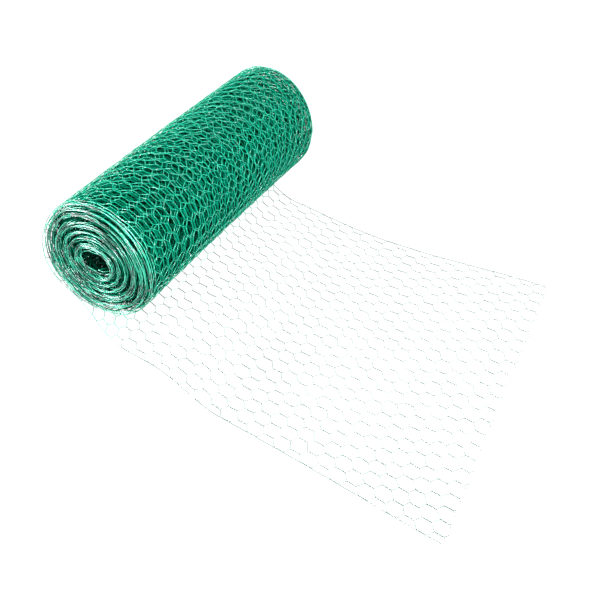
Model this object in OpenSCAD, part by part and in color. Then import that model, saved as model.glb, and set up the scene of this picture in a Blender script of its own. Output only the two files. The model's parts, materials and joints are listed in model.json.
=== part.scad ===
// Roll of hexagonal wire netting, lying on its side with its outer end run out flat.
// Millimetres, +Z up. The roll's axis runs along Y, and the netting leaves from under
// the roll and runs out along +X, a little out of line with it. The origin is the middle
// of the rectangle that the roll and its free end cover on the ground.

/* [Netting] */
// Width of the netting from one selvage wire to the other
netting_w = 600; // [300:50:1800]
// Thickness of the netting at a twist, where two coated wires lie on each other
netting_t = 2; // [1.4:0.1:4]
// Thickness of the selvage wire that edges each turn
selvage_d = 1.2; // [0.8:0.1:1.6]

/* [Roll] */
// Turns wound on the roll
turns = 56; // [4:1:60]
// Distance from one turn to the next
turn_pitch = 1.76; // [1.7:0.02:6]
// Radius of the open core in the middle of the roll
core_r = 22; // [10:1:60]
// Depth of the gaps between the turns where they show on the roll's ends
gap_depth = 4; // [1:0.5:20]
// How far the turns stand in from the roll's ends at most
end_stagger = 2; // [0:0.5:6]

/* [Free end] */
// Length of netting run out along the ground, from under the roll's axis
free_len = 740; // [200:5:2000]
// How far the free end stands out of line with the roll, along the roll's axis
free_shift = 80; // [0:5:150]

/* [Hidden] */
$fn = 96;
roll_r = core_r + (turns - 1) * turn_pitch + selvage_d;
// Places that put the middle of roll and free end together at the origin
axis_x = -(free_len - roll_r) / 2;
roll_y = free_shift / 2;
free_y = -free_shift / 2;
// The netting parts from the roll this far out from under its axis
parting_x = 6;
// Angle from one turn's stagger to the next, so that neighbours never match
stagger_step = 137.5;
green = [0.07, 0.55, 0.38];

// Half the length of turn k along the roll's axis; the innermost turn is full width
function turn_half(k) = netting_w / 2 - end_stagger * (1 - cos(k * stagger_step)) / 2;

// One end of the turned section: for each turn a crown as wide as its selvage wire,
// then the gap that parts it from the next turn
function end_points() = [
    for (k = [0 : turns - 1])
        let (r = core_r + k * turn_pitch, y = turn_half(k))
            each concat(
                [[r, y], [r + selvage_d, y]],
                k < turns - 1
                    ? [[r + selvage_d, y - gap_depth], [r + turn_pitch, y - gap_depth],
                       [r + turn_pitch, turn_half(k + 1)]]
                    : []
            )
];

// The same end mirrored to the other side and walked back, to close the section
function mirrored(points) = [
    for (i = [len(points) - 1 : -1 : 0]) [points[i][0], -points[i][1]]
];

// Solid of revolution about the roll's axis: open core, and the turns as rings on both ends
module wound_roll() {
    color(green)
        translate([axis_x, roll_y, roll_r])
            rotate([90, 0, 0])
                rotate_extrude()
                    polygon(concat(end_points(), mirrored(end_points())));
}

// Flat run of netting that lies on the ground and meets the roll's underside
module free_end() {
    color(green)
        difference() {
            translate([axis_x + parting_x, free_y - netting_w / 2, 0])
                cube([free_len - parting_x, netting_w, netting_t]);
            translate([axis_x, free_y + netting_w / 2 + 1, roll_r])
                rotate([90, 0, 0])
                    cylinder(r = roll_r, h = netting_w + 2);
        }
}

wound_roll();
free_end();
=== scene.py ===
"""Roll of green coated hexagonal wire netting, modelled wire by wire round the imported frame.

The netting is worked out flat first, in three lengths that each point of a wire has:
  run     along the netting, 0 under the roll's axis, growing towards the cut end, so that
          it is negative on the roll
  across  from the netting's middle line, growing from the near selvage to the far one
  lift    out of the netting's middle plane, growing away from the roll's axis
lay_out() then carries all three to the point's place on the roll or on the ground.
"""
import json
import math

import bpy
import numpy as np
from mathutils import Matrix, Vector


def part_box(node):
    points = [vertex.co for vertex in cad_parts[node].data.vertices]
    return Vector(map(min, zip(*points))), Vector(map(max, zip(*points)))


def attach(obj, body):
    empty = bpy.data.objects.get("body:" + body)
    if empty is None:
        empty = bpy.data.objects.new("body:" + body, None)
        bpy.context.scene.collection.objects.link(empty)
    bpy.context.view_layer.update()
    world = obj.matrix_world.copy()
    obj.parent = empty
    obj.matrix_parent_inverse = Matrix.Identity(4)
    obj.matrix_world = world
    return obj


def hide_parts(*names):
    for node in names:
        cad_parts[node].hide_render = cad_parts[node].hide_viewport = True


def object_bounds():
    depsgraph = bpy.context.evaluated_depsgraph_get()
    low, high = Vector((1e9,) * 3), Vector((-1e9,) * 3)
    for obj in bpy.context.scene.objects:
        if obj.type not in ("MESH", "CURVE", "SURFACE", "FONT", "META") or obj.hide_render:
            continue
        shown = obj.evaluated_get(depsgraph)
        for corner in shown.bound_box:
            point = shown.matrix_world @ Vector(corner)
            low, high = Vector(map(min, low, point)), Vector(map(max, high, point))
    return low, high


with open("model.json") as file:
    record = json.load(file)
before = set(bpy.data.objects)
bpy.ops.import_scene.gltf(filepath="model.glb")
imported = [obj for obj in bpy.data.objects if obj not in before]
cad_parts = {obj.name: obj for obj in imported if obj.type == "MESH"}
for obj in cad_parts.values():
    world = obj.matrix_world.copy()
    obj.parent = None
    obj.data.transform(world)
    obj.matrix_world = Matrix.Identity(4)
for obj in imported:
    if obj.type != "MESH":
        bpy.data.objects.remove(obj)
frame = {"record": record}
cad_low, cad_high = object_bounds()

# ---------------------------------------------------------------- sizes, in metres
MM = 0.001
roll_low, roll_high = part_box("wound_roll")
end_low, end_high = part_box("free_end")

NETTING_W = roll_high.y - roll_low.y
NETTING_T = end_high.z - end_low.z
ROLL_R = (roll_high.z - roll_low.z) / 2
AXIS_X = (roll_low.x + roll_high.x) / 2
AXIS_Z = (roll_low.z + roll_high.z) / 2
ROLL_Y = (roll_low.y + roll_high.y) / 2
FREE_Y = (end_low.y + end_high.y) / 2
FREE_LEN = end_high.x - AXIS_X
CORE_R = frame["record"]["mounts"][0]["dims"]["r_mm"] * MM

# The netting: 45 wires and a selvage wire on either side, twisted together in 46 columns
COLUMNS = 46
COLUMN_STEP = NETTING_W / (COLUMNS - 1)
ROW_STEP = 26.85 * MM
TWIST_LEN = 17 * MM
WIRE_R = NETTING_T / 4
SELVAGE_R = 1.2 * WIRE_R
CUT_STUB = 18 * MM          # from the last row of twists to the cut end
ROW_SKEW = 0.056            # how far the rows lean back from square across the netting
WOUND_ROWS = 0.993          # how much closer the rows lie on the roll
FULLY_WOUND = 300 * MM      # run by which the roll's unevenness has come on in full
OUTER_TURN = 740 * MM       # run on the roll where the second turn begins
BETWEEN_ROWS = 0.08         # how gently a wire leaves and enters a twist

# The roll: an even spiral that loosening and its own weight have made uneven
TURN_PITCH = 1.76 * MM
SPIRAL_OUT = ROLL_R - NETTING_T / 2
SPIRAL_IN = CORE_R + NETTING_T / 2
WOUND_LEN = math.pi * (SPIRAL_OUT ** 2 - SPIRAL_IN ** 2) / TURN_PITCH
ROWS = int((FREE_LEN - CUT_STUB + WOUND_LEN) / ROW_STEP)

# Slow waves of the netting on the roll, as (length, width, size) in millimetres
PULLED_RUN = ((1190, 900, 2.5), (811, -700, 2), (283, 350, 1.6), (131, -230, 1))
PULLED_ACROSS = ((1750, 9000, 6), (977, 800, 2), (457, -290, 2), (205, 210, 1.2))
SLID_ALONG = ((1450, 1, 1.5), (613, 1, 1.1), (271, 1, 0.7))

# How much each knot is off its place by chance
RUN_JITTER = 0.8 * MM
ACROSS_JITTER = 0.7 * MM
LIFT_JITTER = 0.35 * MM

# The packs that the turns have bunched into
PACK_STEP = 14 * MM
PACK_UNEVENNESS = 53 * MM
FINER_STEP = 4.9 * MM
PACK_PUSH = 1.9 * MM

# The free end
CORNER_LIFT = 88 * MM
NEAR_SIDE_LIFT = 36 * MM
WAVE_LIFT = 1.3 * MM

# Each length of netting: name, rows, turns in a twist, steps along the twist, steps along
# a slanting wire, sides of a wire. The rows count from the cut end inwards.
LENGTHS = (
    ("netting_free_end", 27, 2, 11, 3, 5),
    ("netting_outer_turn", 28, 2, 10, 2, 4),
    ("netting_second_turn", 28, 1, 6, 2, 4),
    ("netting_third_turn", 28, 1, 4, 2, 3),
    ("netting_outer_layers", 272, 0, 1, 1, 3),
    ("netting_middle_layers", 272, 0, 1, 1, 3),
    ("netting_inner_layers", ROWS - 656, 0, 1, 1, 3),
)

rng = np.random.default_rng(7)


# ---------------------------------------------------------------- the netting laid out flat
def smooth_step(t):
    """0 below t = 0 and 1 above t = 1, with a slope of nothing at both: 3t^2 - 2t^3."""
    t = np.clip(t, 0, 1)
    return t * t * (3 - 2 * t)


def slow_waves(run, across, waves):
    """The sum of size sin(2 pi (run / length + across / width) + length) over waves of
    (length, width, size), all in millimetres."""
    return sum(size * MM * np.sin(2 * math.pi * (run / length + across / width) / MM + length)
               for length, width, size in waves)


def knot_places():
    """Where the middle of each twist lies: run falls by a row step for each row inwards and
    leans back across the netting, across grows by a column step, and each is a little off,
    by a small random amount that is its own, twice as much from the second turn on. On the
    roll the meshes are also pulled out of square in slow waves, which leave the selvages
    alone. Arrays of rows by columns, one row to spare at both ends."""
    row = np.arange(-1, ROWS + 1)[:, None]
    column = np.arange(COLUMNS)[None, :]
    across = (column - (COLUMNS - 1) / 2) * COLUMN_STEP + 0 * row
    run = FREE_LEN - CUT_STUB - row * ROW_STEP - ROW_SKEW * across
    run = np.where(run < 0, run * WOUND_ROWS, run)
    inner = (column > 0) & (column < COLUMNS - 1)
    wound = smooth_step(-run / FULLY_WOUND) * inner
    inside = 1 - (2 * across / NETTING_W) ** 4
    pulled_run = slow_waves(run, across, PULLED_RUN)
    pulled_across = slow_waves(run, across, PULLED_ACROSS)
    on_edge = ~inner * smooth_step(-run / FULLY_WOUND) * (0.5 - across / NETTING_W)
    under = inner * smooth_step((-run - OUTER_TURN) / (40 * MM))
    loose_run = inner + 0.5 * wound + under
    loose_across = inner + 0.5 * wound + on_edge + under
    run = run + rng.normal(0, RUN_JITTER, run.shape) * loose_run + pulled_run * wound
    across = across + rng.normal(0, ACROSS_JITTER, run.shape) * loose_across
    across = across + pulled_across * wound * inside
    lift = rng.normal(0, LIFT_JITTER, run.shape) * (1 + on_edge + under)
    return np.stack([run, across, lift], -1)


KNOTS = knot_places()


def wound_about(knots, offset, turns, steps):
    """A wire's winding in its twist. Along the run it goes through the knot from the cut end
    inwards, and round it across = r cos a and lift = r sin a, where a grows evenly by whole
    turns. A negative r is the partner, half a turn on. Rows by wires by steps by three."""
    along = np.linspace(1, -1, steps + 1)
    angle = math.pi * turns * (1 - along)
    radius = np.asarray(offset)[..., None]
    flat = 0 * radius * angle
    winding = np.stack([flat + along * TWIST_LEN / 2, radius * np.cos(angle), radius * np.sin(angle)], -1)
    return knots[:, :, None] + winding


def joined(twists, slant_steps):
    """Joins each twist to the wire's next with a slant. At a share t of the way the run has
    gone t, and across has gone t - g sin(2 pi t), so that the wire leaves one twist and
    enters the other gently. Returns wire by point by three."""
    start, end = twists[:-1, :, -1:], twists[1:, :, :1]
    t = np.arange(1, slant_steps) / slant_steps
    share = np.stack([t, t - BETWEEN_ROWS * np.sin(2 * math.pi * t), t], -1)
    rows = np.concatenate([twists[:-1], start + (end - start) * share], 2)
    lines = rows.transpose(1, 0, 2, 3).reshape(rows.shape[1], -1, 3)
    return np.concatenate([lines, twists[-1, :, :1]], 1)


def netting_wires(first, count, turns, twist_steps, slant_steps):
    """Middle lines of the 45 netting wires over some rows. A wire is left of its column in
    one row, and right of the column before it in the next."""
    rows = np.arange(first, first + count + 1)[:, None]
    wires = np.arange(COLUMNS - 1)[None, :]
    leans = (rows + wires + 1) % 2
    twists = wound_about(KNOTS[rows + 1, wires + leans], (1 - 2 * leans) * WIRE_R, turns, twist_steps)
    return joined(twists, slant_steps)


def with_stubs(lines):
    """Adds the cut starts of the netting wires: each begins a random share of the way from
    where its twist in the row before the first would have ended."""
    wires = np.arange(COLUMNS - 1)
    before = KNOTS[0, wires + wires % 2] - np.array([TWIST_LEN / 2, 0, 0])
    reach = rng.uniform(0.25, 0.8, (COLUMNS - 1, 1, 1)) * np.array([1, 0.5])[:, None]
    return np.concatenate([lines[:, :1] + reach * (before[:, None] - lines[:, :1]), lines], 1)


def selvage_wires(first, count, turns, twist_steps, slant_steps):
    """Middle lines of the two edge wires: straight along the edge column, but for whole
    turns round the netting wire wherever a twist falls on that column."""
    rows = np.arange(first, first + count + 1)[:, None]
    edge = np.array([[0, COLUMNS - 1]])
    offset = (WIRE_R + SELVAGE_R) / 2 * np.array([[-1, 1]]) * np.ones(rows.shape)
    knots = KNOTS[rows + 1, edge]
    twisted = ((rows + edge) % 2 == 1)[..., None, None]
    wound = wound_about(knots, offset, turns, twist_steps)
    held = wound_about(knots, offset, 0, twist_steps)
    return joined(np.where(twisted, wound, held), slant_steps)


# ---------------------------------------------------------------- from flat to its place
def spiral(run):
    """The turn of a point on the roll back from the parting line, its angle there, and the
    radius. The turn a solves the spiral's length, length = R a - p a^2 / 4 pi, and the
    radius is R - p a / 2 pi."""
    back = np.maximum(-run, 0)
    radius = np.sqrt(np.maximum(SPIRAL_OUT ** 2 - TURN_PITCH * back / math.pi, SPIRAL_IN ** 2))
    turned = (SPIRAL_OUT - radius) * 2 * math.pi / TURN_PITCH
    return turned, 1.5 * math.pi - turned, radius


def jump_and_fall(phase, sharpness):
    """atan2(q sin p, 1 - q cos p): jumps up where p is a whole turn, and falls slowly
    between, the more sharply the nearer q is to 1."""
    return np.arctan2(sharpness * np.sin(phase), 1 - sharpness * np.cos(phase))


def pack_phase(radius, angle, far):
    """The phase of the packs that the turns have bunched into, a whole turn at each gap: it
    grows with the radius, not quite evenly, and slides round with the angle and along the
    roll."""
    phase = 2 * math.pi * radius / PACK_STEP + 1.3 * np.sin(2 * math.pi * radius / PACK_UNEVENNESS)
    return phase + 1.7 * np.sin(angle + 0.6) + 1.1 * np.sin(2 * angle + radius / (18 * MM)) + 3 * far


def set_back(radius, angle, far):
    """1 in the gaps of the near end, where turns stand back from it, and 0 in the packs."""
    outer_edge = smooth_step((SPIRAL_OUT - radius) / (9 * MM))
    inner_edge = smooth_step((radius - SPIRAL_IN) / (16 * MM))
    in_gap = (0.5 + 0.5 * np.cos(pack_phase(radius, angle, far))) ** 4
    return in_gap * outer_edge * inner_edge * (1 - far)


def bunching(radius, angle, far):
    """How far the turns are pushed out where they have bunched into packs of seven or eight
    with one wide gap between, and within those into twos and threes. The outer turns are
    less bunched, and all are less so on the far end."""
    phase = pack_phase(radius, angle, far)
    finer = 2 * math.pi * radius / FINER_STEP + 2.3 * np.sin(2 * angle + 1.1) + 6 * far
    packs = jump_and_fall(phase, 0.88) + 0.28 * jump_and_fall(finer, 0.7)
    edge = smooth_step((SPIRAL_OUT - radius) / ((7 + 30 * far) * MM))
    waning = 0.75 + 0.25 * np.sin(3 * angle + radius / (9 * MM))
    outwards = np.sin(math.pi * (radius - SPIRAL_IN) / (SPIRAL_OUT - SPIRAL_IN))
    pushed = PACK_PUSH * packs * waning * (0.15 + 0.85 * edge) * (1 - 0.85 * far)
    return pushed + 6 * MM * outwards


def oval(radius, angle):
    """How far the core's turns are squeezed into an oval and drawn in: cos 2a about the
    level, dying away outwards, and the sag of the whole roll in the same way."""
    squeeze = np.exp(-(radius - SPIRAL_IN) / (22 * MM))
    sag = 0.9 * MM * radius / ROLL_R
    return (8 * MM * squeeze + sag) * np.cos(2 * angle) - 2.5 * MM * squeeze


def end_drift(run, across, turned, angle, radius):
    """How far the netting has slid along the roll in each turn: a few slow waves of run, less
    on the far end, inner turns that stand out of both ends, the gaps' turns that stand
    back from it, outer turns that stand back on the free end's side, each a little less
    than the last, and ends that are not square to the roll."""
    far = 0.5 + across / NETTING_W
    wander = slow_waves(run, 0 * run, SLID_ALONG) * (1 - 0.9 * far)
    outermost, outer = np.exp(-turned / 16), np.exp(-turned / 200)
    near_back = outermost * 9 * MM * (1 + np.cos(angle - math.radians(28)))
    near_skew = outer * 4 * MM * (1 + 2 * np.cos(angle - math.radians(255)))
    near_out = 6 * MM * smooth_step(turned / 350) - 8 * MM * set_back(radius, angle, far)
    far_skew = outer * (-2 * MM + 17 * MM * np.cos(angle - math.radians(130)))
    far_out = 17 * MM * (1 - np.exp(-(SPIRAL_OUT - radius) / (20 * MM)))
    return wander + (near_back - near_skew - near_out) * (1 - far) + (far_skew + far_out) * far


def drawn_in(angle, far, turned, depth):
    """How far the turns are drawn in, all less towards the core: beyond the outer turn,
    which is loose on the left of the near end, all along the roll's middle, and in a dent
    on the left of the near end."""
    loose = (0.5 - 0.5 * np.cos(angle - 0.35)) * (1.15 - far) * smooth_step((turned - 3.5) / 5)
    waist = np.sin(math.pi * far) * (0.4 + 0.6 * np.cos(angle + math.radians(40)))
    dent = np.maximum(np.cos(angle - math.radians(150)), 0) ** 4 * (1 - far) ** 2
    return (2.6 * loose + 3 * waist + 5.5 * dent) * MM * depth


def on_roll(run, across, lift):
    """A point on the wound part: on the spiral, and from there bunched, squeezed, drawn in
    and slid along the roll."""
    turned, angle, root = spiral(run)
    leaving = smooth_step(turned / 1.2)
    far = 0.5 + across / NETTING_W
    depth = (root - SPIRAL_IN) / (SPIRAL_OUT - SPIRAL_IN)
    uneven = bunching(root, angle, far) + oval(root, angle) - drawn_in(angle, far, turned, depth)
    radius = root + lift + leaving * uneven
    x = AXIS_X + radius * np.cos(angle)
    z = AXIS_Z + radius * np.sin(angle)
    return x, z, end_drift(run, across, turned, angle, root) * leaving


def on_ground(run, across, lift):
    """A point on the free end: flat on the ground but for long shallow waves, the far
    corner that springs up and the near selvage that stays up where it leaves the roll."""
    t = run / FREE_LEN
    far = across / NETTING_W + 0.5
    wave = WAVE_LIFT * (1 + np.sin(2 * math.pi * (1.7 * t - 0.6 * far) + 0.9)) * smooth_step(t * 3)
    corner = CORNER_LIFT * smooth_step((t - 0.34) / 0.76) * smooth_step((far - 0.09) / 0.91)
    near_side = NEAR_SIDE_LIFT * (1 - far) * smooth_step((320 * MM - run) / (136 * MM))
    x = AXIS_X + run
    z = NETTING_T / 2 + wave + corner + near_side * smooth_step(run / (150 * MM)) - lift
    return x, z


def out_of_line(run):
    """How much of its way out of line with the roll the netting has gone: a little round the
    last quarter turn, and the rest while it parts from the roll."""
    early = smooth_step((run + 260 * MM) / (200 * MM))
    parting = smooth_step((run + 60 * MM) / (200 * MM))
    return 0.08 * early + 0.92 * parting


def lay_out(points):
    """Carries (run, across, lift) to x, y and z: onto the ground where run is positive and
    onto the roll where it is negative."""
    run, across, lift = points[..., 0], points[..., 1], points[..., 2]
    roll_x, roll_z, drift = on_roll(run, across, lift)
    ground_x, ground_z = on_ground(np.maximum(run, 0), across, lift)
    grounded = run > 0
    x = np.where(grounded, ground_x, roll_x)
    z = np.where(grounded, ground_z, roll_z)
    y = ROLL_Y + (FREE_Y - ROLL_Y) * out_of_line(run) + across + np.where(grounded, 0, drift)
    return np.stack([x, y, np.maximum(z, 0.6 * WIRE_R)], -1)


def twist_shade(points, twist_steps, slant_steps):
    """How much of its light a point keeps: all on the slants of the roll, less in its
    twists, where two wires shade each other, and the other way about on the free end."""
    place_in_row = np.arange(points.shape[1]) % (twist_steps + slant_steps)
    twisted = place_in_row <= twist_steps
    wound = points[..., 0] < 0
    return np.where(wound, np.where(twisted, 0.7, 1), np.where(twisted, 1, 0.77))


def painted_light_level(points):
    """The painted light level of a point, painted shade and painted highlight that pick the coat's tones:
    over 1 on the free end, whose wires are painted dark and grey, 0.82 on the outer turns and at the
    near end of all turns, painted lighter as if open to the light, 0.42 at their far end, and less,
    as painted shade, with every turn and every bit of netting over it."""
    run, across = points[..., 0], points[..., 1]
    turned, angle, radius = spiral(run)
    turns_in = turned / (2 * math.pi)
    # painted shade: darker with every turn in, from the third turn to about the fourteenth
    deep = 0.6 * (1 - smooth_step((turns_in - 2.5) / 11))
    # painted highlight: the outer turns are painted paler, fading out by the fifth turn
    outermost = 0.22 * (1 - smooth_step((turns_in - 1.2) / 3.2))
    from_outside = deep + outermost
    far = 0.5 + across / NETTING_W
    # the ends of all turns are painted as lit, the near end lighter than the far end
    from_end = (0.82 - 0.4 * far) * np.exp(-(NETTING_W / 2 - np.abs(across)) / (5 * MM))
    # painted shade in the recesses, where turns stand back in the near end's gaps
    from_end = from_end * (1 - 0.85 * set_back(radius, angle, far))
    # the free end is painted past 1, into the dark grey tones of painted shade and painted reflection of
    # the white floor
    grounded = 1.25 * smooth_step(run / (120 * MM))
    return np.maximum(np.maximum(from_outside, from_end), grounded)


# ---------------------------------------------------------------- wires made into meshes
def map_places(wires, length, sides, first_band, bands):
    """Where the corners of each face lie on the map that the finish is baked through: u grows
    with the points along a wire and v round it, in a band of its own for each wire. The two
    closed ends are small rings at the band's ends."""
    band = first_band + np.arange(wires)[:, None, None]
    point, side = np.arange(length - 1)[:, None], np.arange(sides)
    u = [0.01 + 0.98 * (point + step) / (length - 1) for step in (0, 0, 1, 1)]
    v = [(band + 0.05 + 0.9 * (side + step) / sides) / bands for step in (0, 1, 1, 0)]
    quads = np.stack([np.stack(np.broadcast_arrays(*pair), -1) for pair in zip(u, v)], 3)
    turn = 2 * math.pi * side / sides
    ring_v = (band[:, 0] + 0.5 + 0.3 * np.sin(turn)) / bands
    ring = np.stack(np.broadcast_arrays(0.003 * np.cos(turn), ring_v), -1)
    caps = np.concatenate([ring[:, ::-1] + np.array([0.004, 0]), ring + np.array([0.996, 0])])
    return quads.reshape(-1, 2), caps.reshape(-1, 2)


def wire_tubes(points, radius, sides, shade=1, first_band=0, bands=COLUMNS + 1):
    """A tube along each middle line: at each point a ring of radius r round the line, with
    one axis kept in line with the way the netting faces. The radius is widened for few
    sides, so that a wire looks as thick as a round one. Returns corner places and faces,
    with both ends closed."""
    middle = lay_out(points)
    step = np.array([0, 0, 1 * MM])
    facing = lay_out(points + step) - lay_out(points - step)
    tangent = np.gradient(middle, axis=1)
    sideways = np.cross(tangent, facing)
    sideways /= np.linalg.norm(sideways, axis=-1, keepdims=True)
    up = np.cross(tangent, sideways)
    up /= np.linalg.norm(up, axis=-1, keepdims=True)
    turn = 2 * math.pi * np.arange(sides) / sides
    fat = radius * math.pi / (sides * math.sin(math.pi / sides))
    ring = np.cos(turn)[:, None] * sideways[:, :, None] + np.sin(turn)[:, None] * up[:, :, None]
    corners = middle[:, :, None] + fat * ring

    wires, length = middle.shape[:2]
    index = np.arange(wires * length * sides).reshape(wires, length, sides)
    here, there = index[:, :-1], index[:, 1:]
    quads = np.stack([here, np.roll(here, -1, 2), np.roll(there, -1, 2), there], -1)
    caps = np.concatenate([index[:, 0, ::-1], index[:, -1]])
    # painted light level of each corner, with the painted shade of the twists
    painted_light = np.repeat((painted_light_level(points) * shade).ravel(), sides)
    places = map_places(wires, length, sides, first_band, bands)
    return corners.reshape(-1, 3), quads.reshape(-1, 4), caps, painted_light, places


def mesh_from(name, parts):
    """One mesh from several (corners, quads, caps, light, map places), with all faces smooth."""
    corners, loops, sizes, lit, places, start = [], [], [], [], [], 0
    for points, quads, caps, painted_light, on_map in parts:
        corners.append(points)
        lit.append(painted_light)
        places += on_map
        for faces in (quads, caps):
            loops.append((faces + start).ravel())
            sizes.append(np.full(len(faces), faces.shape[1]))
        start += len(points)
    corners, loops, sizes = np.concatenate(corners), np.concatenate(loops), np.concatenate(sizes)
    mesh = bpy.data.meshes.new(name)
    mesh.vertices.add(len(corners))
    mesh.vertices.foreach_set("co", corners.astype(np.float32).ravel())
    mesh.loops.add(len(loops))
    mesh.loops.foreach_set("vertex_index", loops.astype(np.int32))
    mesh.polygons.add(len(sizes))
    mesh.polygons.foreach_set("loop_start", np.concatenate([[0], np.cumsum(sizes)[:-1]]).astype(np.int32))
    mesh.update(calc_edges=True)
    mesh.polygons.foreach_set("use_smooth", np.ones(len(sizes), bool))
    bake_map = mesh.uv_layers.new(name="OFBake")
    bake_map.data.foreach_set("uv", np.concatenate(places).astype(np.float32).ravel())
    mesh.validate()
    # the painted light level, which paints shade and highlights into the coat's colour
    mesh.attributes.new("painted_light", "FLOAT", "POINT").data.foreach_set("value", np.concatenate(lit))
    piece = bpy.data.objects.new(name, mesh)
    bpy.context.scene.collection.objects.link(piece)
    return piece


def netting_length(name, first, count, turns, twist_steps, slant_steps, sides):
    """All the wires of one length of netting as a piece."""
    steps = (first, count, turns, twist_steps, slant_steps)
    inner_wires = netting_wires(*steps)
    shade = twist_shade(inner_wires, twist_steps, slant_steps)
    if first == 0:
        inner_wires = with_stubs(inner_wires)
        shade = np.concatenate([shade[:, :2], shade], 1)
    parts = [
        wire_tubes(inner_wires, WIRE_R, sides, shade),
        wire_tubes(selvage_wires(*steps), SELVAGE_R, sides, first_band=COLUMNS - 1),
    ]
    return mesh_from(name, parts)


# ---------------------------------------------------------------- finishes
# The coat's colour with painted light in it, as (place, colour): painted shade from the dark of the
# gaps deep in the roll, the coat's green, a pale painted highlight on the wires that lie open, and
# the free end's wires painted dark and grey, as painted shade and painted reflection of the white floor
COAT_TONES_WITH_PAINTED_LIGHT = (
    (0.0, (0.0002, 0.01, 0.005, 1)),        # deep in the roll: painted shade
    (0.4, (0.0003, 0.045, 0.024, 1)),
    (0.6, (0.0006, 0.092, 0.053, 1)),
    (0.86, (0.017, 0.172, 0.114, 1)),       # outer turns and ends: pale painted highlight on the coat's green
    (0.94, (0.05, 0.11, 0.088, 1)),         # slants of the free end: grey, painted reflection of the white floor and painted shade
    (1.0, (0.01, 0.03, 0.023, 1)),          # twists of the free end: darkest painted shade
)
TONE_SCALE = 120            # patches of tone for each metre
TONE_DRIFT = 0.5            # how far a patch moves the tone
GLOSS_START = 0.475         # painted light level at which a wire starts to gleam, no gleam in the painted shade below it
GLOSS_SLOPE = 4


def arithmetic(nodes, operation, *values):
    """A Math node with its numbers set, None where something is to be linked."""
    node = nodes.new("ShaderNodeMath")
    node.operation = operation
    for socket, value in zip(node.inputs, values):
        if value is not None:
            socket.default_value = value
    return node


def coat_ramp_with_painted_light(nodes):
    """The coat's tones, with painted shade and painted highlights, as a colour ramp."""
    ramp = nodes.new("ShaderNodeValToRGB")
    stops = ramp.color_ramp.elements
    stops.remove(stops[1])
    stops[0].position, stops[0].color = COAT_TONES_WITH_PAINTED_LIGHT[0]
    for place, colour in COAT_TONES_WITH_PAINTED_LIGHT[1:]:
        stops.new(place).color = colour
    return ramp


def coated_wire():
    """Glossy green coating with painted light in its colour. Its tone is the painted light level + drift
    (patch - 0.5), where the patches are a noise, so that it picks painted shade, the coat's green and
    painted highlights from the tones, and its gleam is slope (painted light level - start), both kept
    between 0 and 1, so that the coat does not gleam in the painted shade."""
    material = bpy.data.materials.new("green_coating_painted_light")
    material.use_nodes = True
    nodes, links = material.node_tree.nodes, material.node_tree.links
    shader = nodes["Principled BSDF"]
    # reads the painted light level that paints shade and highlights into the colour
    painted_light = nodes.new("ShaderNodeAttribute")
    painted_light.attribute_name = "painted_light"

    place = nodes.new("ShaderNodeTexCoord")
    patches = nodes.new("ShaderNodeTexNoise")
    patches.inputs["Scale"].default_value = TONE_SCALE
    patches.inputs["Detail"].default_value = 3
    links.new(place.outputs["Object"], patches.inputs["Vector"])
    lowered = arithmetic(nodes, "SUBTRACT", None, TONE_DRIFT / 2)
    links.new(painted_light.outputs["Fac"], lowered.inputs[0])
    tone = arithmetic(nodes, "MULTIPLY_ADD", None, TONE_DRIFT)
    links.new(patches.outputs["Fac"], tone.inputs[0])
    links.new(lowered.outputs[0], tone.inputs[2])
    ramp = coat_ramp_with_painted_light(nodes)
    links.new(tone.outputs[0], ramp.inputs["Fac"])
    links.new(ramp.outputs["Color"], shader.inputs["Base Color"])

    gleam = arithmetic(nodes, "MULTIPLY_ADD", None, GLOSS_SLOPE, -GLOSS_SLOPE * GLOSS_START)
    gleam.use_clamp = True
    links.new(painted_light.outputs["Fac"], gleam.inputs[0])
    links.new(gleam.outputs[0], shader.inputs["Coat Weight"])
    shader.inputs["Coat Roughness"].default_value = 0.15
    shader.inputs["Coat IOR"].default_value = 1.5
    shader.inputs["Roughness"].default_value = 0.5
    shader.inputs["Specular IOR Level"].default_value = 0
    return material


# ---------------------------------------------------------------- floor, light and camera
FLOOR_SIZE = 40
FLOOR_DROP = 0.4 * MM       # below the netting, so that the two never share a surface
FLOOR_GREY = 0.03
FLOOR_GLOW = 0.94
ROOM_STRENGTH = 0.2

# Strip lights: name, one end, the other end, width and power
STRIPS = (
    ("left_strip", (-2.42, -0.49, 0.3), (-1.05, -2.05, 0.3), 0.5, 340),
    ("overhead_strip", (1.25, -0.55, 1.35), (-0.1, 0.42, 1.95), 0.12, 265),
    ("front_fill", (0.2, -1.9, 0.9), (1.0, -1.6, 0.9), 0.25, 120),
)

CAMERA_AZIMUTH, CAMERA_ELEVATION, CAMERA_TIP = 19.93, 44.95, 12.9
CAMERA_AIM = (0.007, -0.0535, 0.05)
CAMERA_DISTANCE = 1.524
CAMERA_LENS = 47.6


def ground():
    """Plain white floor, well past what the camera sees, that glows and so has faint shadows."""
    bpy.ops.mesh.primitive_plane_add(size=FLOOR_SIZE, location=(0, 0, -FLOOR_DROP))
    floor = bpy.context.object
    floor.name = "floor"
    material = bpy.data.materials.new("white_floor")
    material.use_nodes = True
    shader = material.node_tree.nodes["Principled BSDF"]
    shader.inputs["Base Color"].default_value = (FLOOR_GREY, FLOOR_GREY, FLOOR_GREY, 1)
    shader.inputs["Roughness"].default_value = 0.9
    shader.inputs["Emission Color"].default_value = (1, 1, 1, 1)
    shader.inputs["Emission Strength"].default_value = FLOOR_GLOW
    floor.data.materials.append(material)


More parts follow.
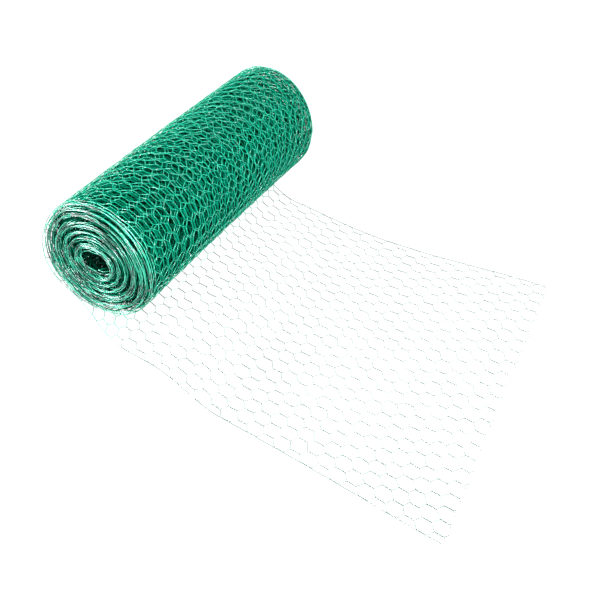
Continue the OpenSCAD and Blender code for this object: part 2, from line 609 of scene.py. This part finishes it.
def strip_light(name, start, end, width, power):
    """A long area light from one place to another that faces the middle of the object."""
    start, end = Vector(start), Vector(end)
    middle = (start + end) / 2
    data = bpy.data.lights.new(name, "AREA")
    data.energy = power
    data.shape = "RECTANGLE"
    data.size = (end - start).length
    data.size_y = width
    lamp = bpy.data.objects.new(name, data)
    along = (end - start).normalized()
    away = middle - (cad_low + cad_high) / 2
    across = away.cross(along).normalized()
    away = along.cross(across)
    turn = Matrix((along, across, away)).transposed().to_4x4()
    lamp.matrix_world = Matrix.Translation(middle) @ turn
    bpy.context.scene.collection.objects.link(lamp)


def room_light():
    """White light from all round."""
    world = bpy.data.worlds.new("white_room")
    world.use_nodes = True
    world.node_tree.nodes["Background"].inputs["Color"].default_value = (1, 1, 1, 1)
    world.node_tree.nodes["Background"].inputs["Strength"].default_value = ROOM_STRENGTH
    bpy.context.scene.world = world


def camera():
    """Looks down on the netting from the near side, tipped a little about its own axis."""
    azimuth, elevation = math.radians(CAMERA_AZIMUTH), math.radians(CAMERA_ELEVATION)
    back = Vector((math.sin(azimuth) * math.cos(elevation),
                   -math.cos(azimuth) * math.cos(elevation), math.sin(elevation)))
    data = bpy.data.cameras.new("camera")
    data.lens = CAMERA_LENS
    view = bpy.data.objects.new("camera", data)
    upright = (-back).to_track_quat("-Z", "Y").to_matrix()
    turn = upright @ Matrix.Rotation(math.radians(CAMERA_TIP), 3, "Z")
    place = Vector(CAMERA_AIM) + back * CAMERA_DISTANCE
    view.matrix_world = Matrix.Translation(place) @ turn.to_4x4()
    bpy.context.scene.collection.objects.link(view)
    bpy.context.scene.camera = view


# ---------------------------------------------------------------- putting it together
finish = coated_wire()
row = 0
for name, rows, turns, twist_steps, slant_steps, sides in LENGTHS:
    piece = netting_length(name, row, rows, turns, twist_steps, slant_steps, sides)
    piece.data.materials.append(finish)
    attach(piece, "root")
    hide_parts("free_end" if name == "netting_free_end" else "wound_roll")
    row += rows

ground()
room_light()
for strip in STRIPS:
    strip_light(*strip)
camera()
bpy.context.scene.view_settings.view_transform = "Standard"
